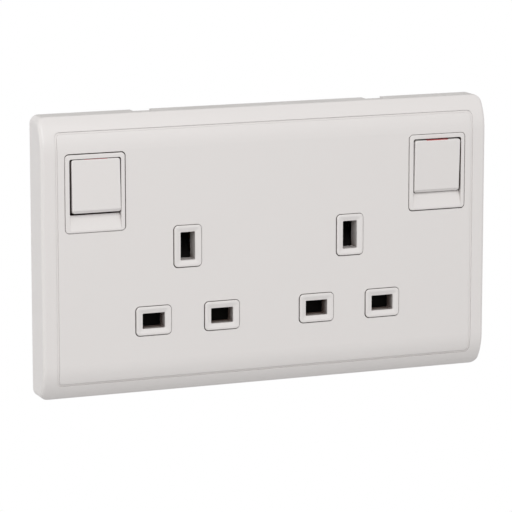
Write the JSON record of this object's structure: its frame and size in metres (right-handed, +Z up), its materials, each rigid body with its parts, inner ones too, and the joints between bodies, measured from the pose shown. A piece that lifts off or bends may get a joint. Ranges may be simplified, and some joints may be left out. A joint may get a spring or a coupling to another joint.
{
  "type": "twin switched socket outlet",
  "caption": "White wall outlet with a switch above each socket, a clip-on front cover, shuttered pin holes and brass contacts in a rear housing.",
  "frame": {"origin": "middle of the plate on the wall plane, midway between the two box screw holes", "axes": "+X to the right and +Z up as seen from the front; the front faces -Y and +Y goes into the wall"},
  "size_m": [0.146, 0.0338, 0.086],
  "materials": {
    "white_moulding": "satin",
    "housing_moulding": "matte",
    "dark_moulding": "matte",
    "red_moulding": "gloss",
    "brass": "satin",
    "silver_rivet": "satin",
    "plated_steel": "satin"
  },
  "bodies": {
    "root": {"mounting_frame": "white_moulding", "rear_housing": "housing_moulding", "left_socket_insert": "white_moulding", "right_socket_insert": "white_moulding", "live_feed_bar": "brass", "neutral_bar": "brass", "earth_bar": "brass", "neutral_terminal": "brass", "earth_terminal_left": "brass", "earth_terminal_right": "brass", "live_terminal": "brass", "terminal_screws": "plated_steel", "assembly_screws": "plated_steel", "left_live_contact": "brass", "right_live_contact": "brass", "left_fixed_rivet": "silver_rivet", "right_fixed_rivet": "silver_rivet", "left_shutter_spring": "plated_steel", "right_shutter_spring": "plated_steel"},
    "cover": {"front_cover": "white_moulding"},
    "left_rocker": {"left_rocker": "white_moulding", "left_on_flag": "red_moulding", "left_plunger_spring": "plated_steel"},
    "left_plunger": {"left_plunger": "dark_moulding"},
    "left_rocking": {"left_rocking_contact": "brass", "left_moving_rivet": "silver_rivet"},
    "left_shutter": {"left_shutter": "dark_moulding"},
    "right_rocker": {"right_rocker": "white_moulding", "right_on_flag": "red_moulding", "right_plunger_spring": "plated_steel"},
    "right_plunger": {"right_plunger": "dark_moulding"},
    "right_rocking": {"right_rocking_contact": "brass", "right_moving_rivet": "silver_rivet"},
    "right_shutter": {"right_shutter": "dark_moulding"}
  },
  "joints": [
    {"name": "cover_pull", "type": "slide", "parent": "root", "child": "cover", "axis": [0, -1, 0], "range_m": [0, 0.03]},
    {"name": "left_rocker_tilt", "type": "hinge", "parent": "root", "child": "left_rocker", "pos_m": [-0.0562, -0.0075, 0.02198], "axis": [1, 0, 0], "range_deg": [0, 5]},
    {"name": "left_contact_tilt", "type": "hinge", "parent": "root", "child": "left_rocking", "pos_m": [-0.0562, 0.0066, 0.02198], "axis": [1, 0, 0], "range_deg": [-8.8, 0]},
    {"name": "left_plunger_slide", "type": "slide", "parent": "left_rocker", "child": "left_plunger", "axis": [0, -0.999, 0.0436], "range_m": [0, 0.0008], "stiffness_N_per_m": 400, "springref_m": -0.003, "deforming": ["left_plunger_spring"]},
    {"name": "left_shutter_slide", "type": "slide", "parent": "root", "child": "left_shutter", "axis": [0, 0, -1], "range_m": [0, 0.0053], "stiffness_N_per_m": 120, "springref_m": -0.006, "deforming": ["left_shutter_spring"]},
    {"name": "right_rocker_tilt", "type": "hinge", "parent": "root", "child": "right_rocker", "pos_m": [0.0562, -0.0075, 0.02198], "axis": [1, 0, 0], "range_deg": [-5, 0]},
    {"name": "right_contact_tilt", "type": "hinge", "parent": "root", "child": "right_rocking", "pos_m": [0.0562, 0.0066, 0.02198], "axis": [1, 0, 0], "range_deg": [0, 8.8]},
    {"name": "right_plunger_slide", "type": "slide", "parent": "right_rocker", "child": "right_plunger", "axis": [0, -0.999, -0.0436], "range_m": [0, 0.0008], "stiffness_N_per_m": 400, "springref_m": -0.003, "deforming": ["right_plunger_spring"]},
    {"name": "right_shutter_slide", "type": "slide", "parent": "root", "child": "right_shutter", "axis": [0, 0, -1], "range_m": [0, 0.0053], "stiffness_N_per_m": 120, "springref_m": -0.006, "deforming": ["right_shutter_spring"]}
  ],
  "couplings": [
    {"joint": "left_contact_tilt", "follows": "left_rocker_tilt", "ratio": -1.76},
    {"joint": "right_contact_tilt", "follows": "right_rocker_tilt", "ratio": -1.76}
  ]
}
